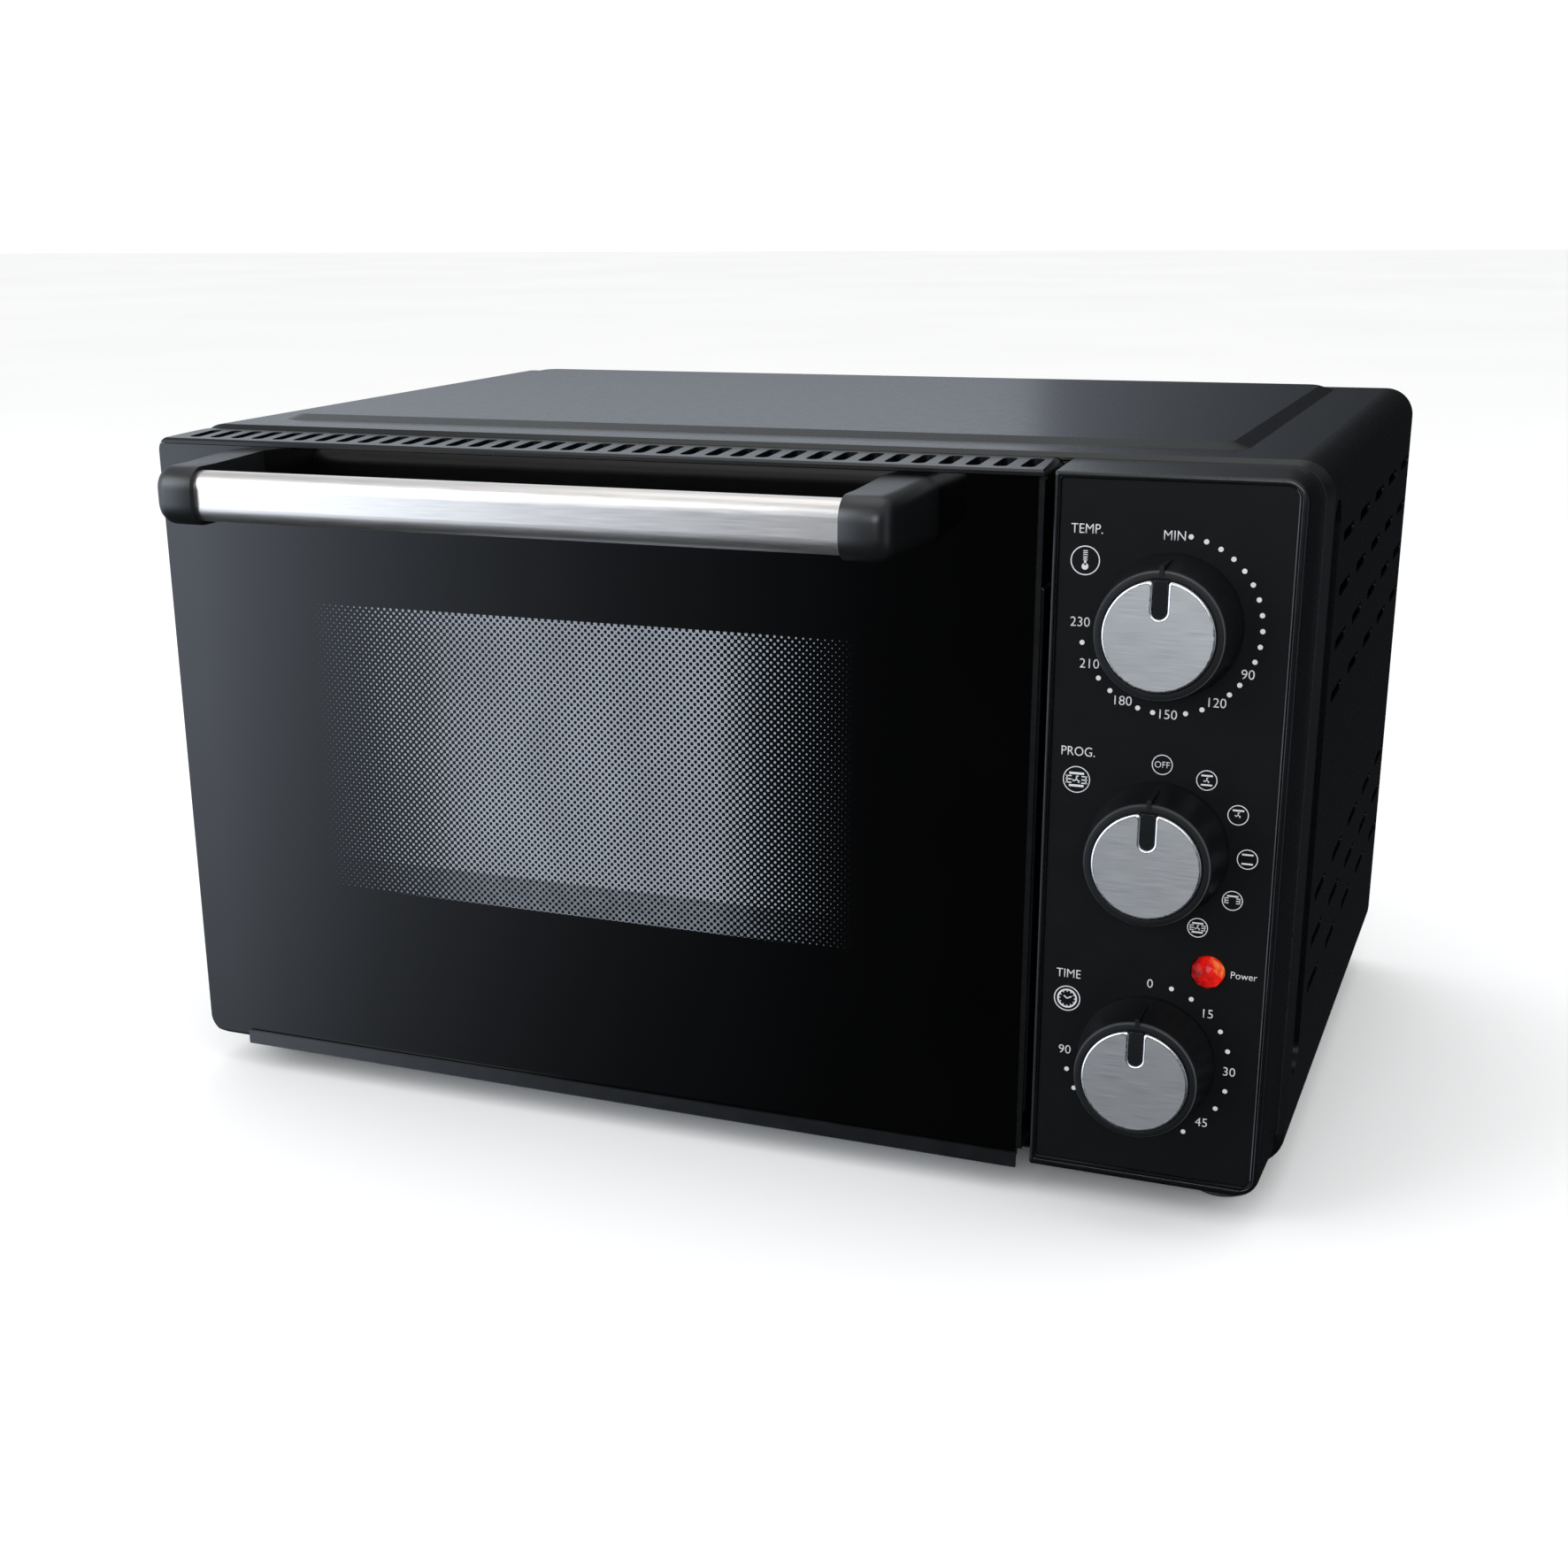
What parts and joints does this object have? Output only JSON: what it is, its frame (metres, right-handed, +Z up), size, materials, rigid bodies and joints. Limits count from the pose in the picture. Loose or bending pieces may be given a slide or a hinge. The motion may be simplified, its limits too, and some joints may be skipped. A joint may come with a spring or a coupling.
{
  "type": "toaster oven",
  "caption": "Countertop toaster oven with a bottom-hinged glass door, bar handle, control dials, wire rack, pull-out crumb tray, convection fan and rotisserie drive.",
  "frame": {"origin": "on the worktop under the middle of the oven's bounding box, handle and rear spacers included", "axes": "+Z up, -Y towards the person facing the door, +X to that person's right"},
  "size_m": [0.45, 0.364, 0.271],
  "materials": {
    "black_enamel": "satin black enamel",
    "cavity_steel": "plain zinc-coated sheet",
    "screw_steel": "zinc plated",
    "aluminium_fan": "rolled sheet",
    "black_plastic": "fine-grained black",
    "fascia_print": "satin black with white print",
    "foot_rubber": "matt",
    "handle_steel": "fine brushed",
    "dial_metal": "spun finish with polished rim",
    "door_glass": "black printed glass",
    "clear_glass": "clear toughened",
    "element_steel": "dark oxidised tube",
    "ceramic": null,
    "rack_chrome": "bright plated wire",
    "switch_case": "pale moulded case",
    "bell_brass": "plain",
    "motor_steel": "plain",
    "lamp_red": "clear red"
  },
  "bodies": {
    "cabinet": {"outer_wrap": "black_enamel", "back_panel": "black_enamel", "back_panel_screws": "screw_steel", "rear_spacers": "black_plastic", "cord_gland": "black_plastic", "base_pan": "black_enamel", "left_tray_runner": "black_enamel", "right_tray_runner": "black_enamel", "foot_front_left": "foot_rubber", "foot_front_right": "foot_rubber", "foot_rear_left": "foot_rubber", "foot_rear_right": "foot_rubber", "front_frame": "black_enamel", "cavity_left_wall": "cavity_steel", "cavity_right_wall": "cavity_steel", "cavity_ceiling": "cavity_steel", "cavity_back_wall": "cavity_steel", "left_rack_guides": "cavity_steel", "right_rack_guides": "cavity_steel", "upper_elements": "element_steel", "lower_elements": "element_steel", "element_bushes": "ceramic", "fan_housing": "cavity_steel", "fan_motor": "motor_steel", "spit_motor": "motor_steel", "spit_support": "cavity_steel", "left_hinge_bracket": "screw_steel", "right_hinge_bracket": "screw_steel", "control_bezel": "black_plastic", "control_fascia": "fascia_print", "thermostat": "switch_case", "selector_switch": "black_plastic", "timer_mechanism": "switch_case", "timer_bell": "bell_brass", "lamp_lens": "lamp_red", "lamp_holder": "black_plastic", "terminal_block": "black_plastic"},
    "door": {"door_frame": "black_plastic", "door_top_rail": "black_plastic", "door_outer_glass": "door_glass", "door_inner_glass": "clear_glass", "hinge_pins": "screw_steel", "handle_tube": "handle_steel", "right_handle_bracket": "black_plastic", "left_handle_bracket": "black_plastic", "handle_screws": "screw_steel"},
    "temperature_dial": {"temperature_knob": "black_plastic", "temperature_knob_cap": "dial_metal", "temperature_shaft": "screw_steel"},
    "programme_dial": {"programme_knob": "black_plastic", "programme_knob_cap": "dial_metal", "programme_shaft": "screw_steel"},
    "timer_dial": {"timer_knob": "black_plastic", "timer_knob_cap": "dial_metal", "timer_shaft": "screw_steel"},
    "crumb_tray": {"crumb_tray": "cavity_steel"},
    "rack": {"wire_rack": "rack_chrome"},
    "fan": {"fan_rotor": "aluminium_fan"},
    "spit_drive": {"spit_drive_socket": "screw_steel"}
  },
  "joints": [
    {"name": "door_hinge", "type": "hinge", "parent": "cabinet", "child": "door", "pos_m": [0, -0.1276, 0.0223], "axis": [1, 0, 0], "range_deg": [0, 80]},
    {"name": "temperature_turn", "type": "hinge", "parent": "cabinet", "child": "temperature_dial", "pos_m": [0.178, -0.14, 0.2164], "axis": [0, 1, 0], "range_deg": [0, 270]},
    {"name": "programme_turn", "type": "hinge", "parent": "cabinet", "child": "programme_dial", "pos_m": [0.178, -0.14, 0.138], "axis": [0, 1, 0], "range_deg": [0, 150]},
    {"name": "timer_turn", "type": "hinge", "parent": "cabinet", "child": "timer_dial", "pos_m": [0.178, -0.14, 0.0596], "axis": [0, 1, 0], "range_deg": [0, 270]},
    {"name": "crumb_tray_slide", "type": "slide", "parent": "cabinet", "child": "crumb_tray", "axis": [0, -1, 0], "range_m": [0, 0.2]},
    {"name": "rack_slide", "type": "slide", "parent": "cabinet", "child": "rack", "axis": [0, -1, 0], "range_m": [0, 0.06]},
    {"name": "fan_spin", "type": "hinge", "parent": "cabinet", "child": "fan", "pos_m": [0.125, 0.082, 0.158], "axis": [1, 0, 0], "continuous": true},
    {"name": "spit_turn", "type": "hinge", "parent": "cabinet", "child": "spit_drive", "pos_m": [0.112, -0.005, 0.15], "axis": [1, 0, 0], "continuous": true}
  ],
  "couplings": [
    {"joint": "rack_slide", "follows": "door_hinge", "m_per_rad": 0.042}
  ]
}
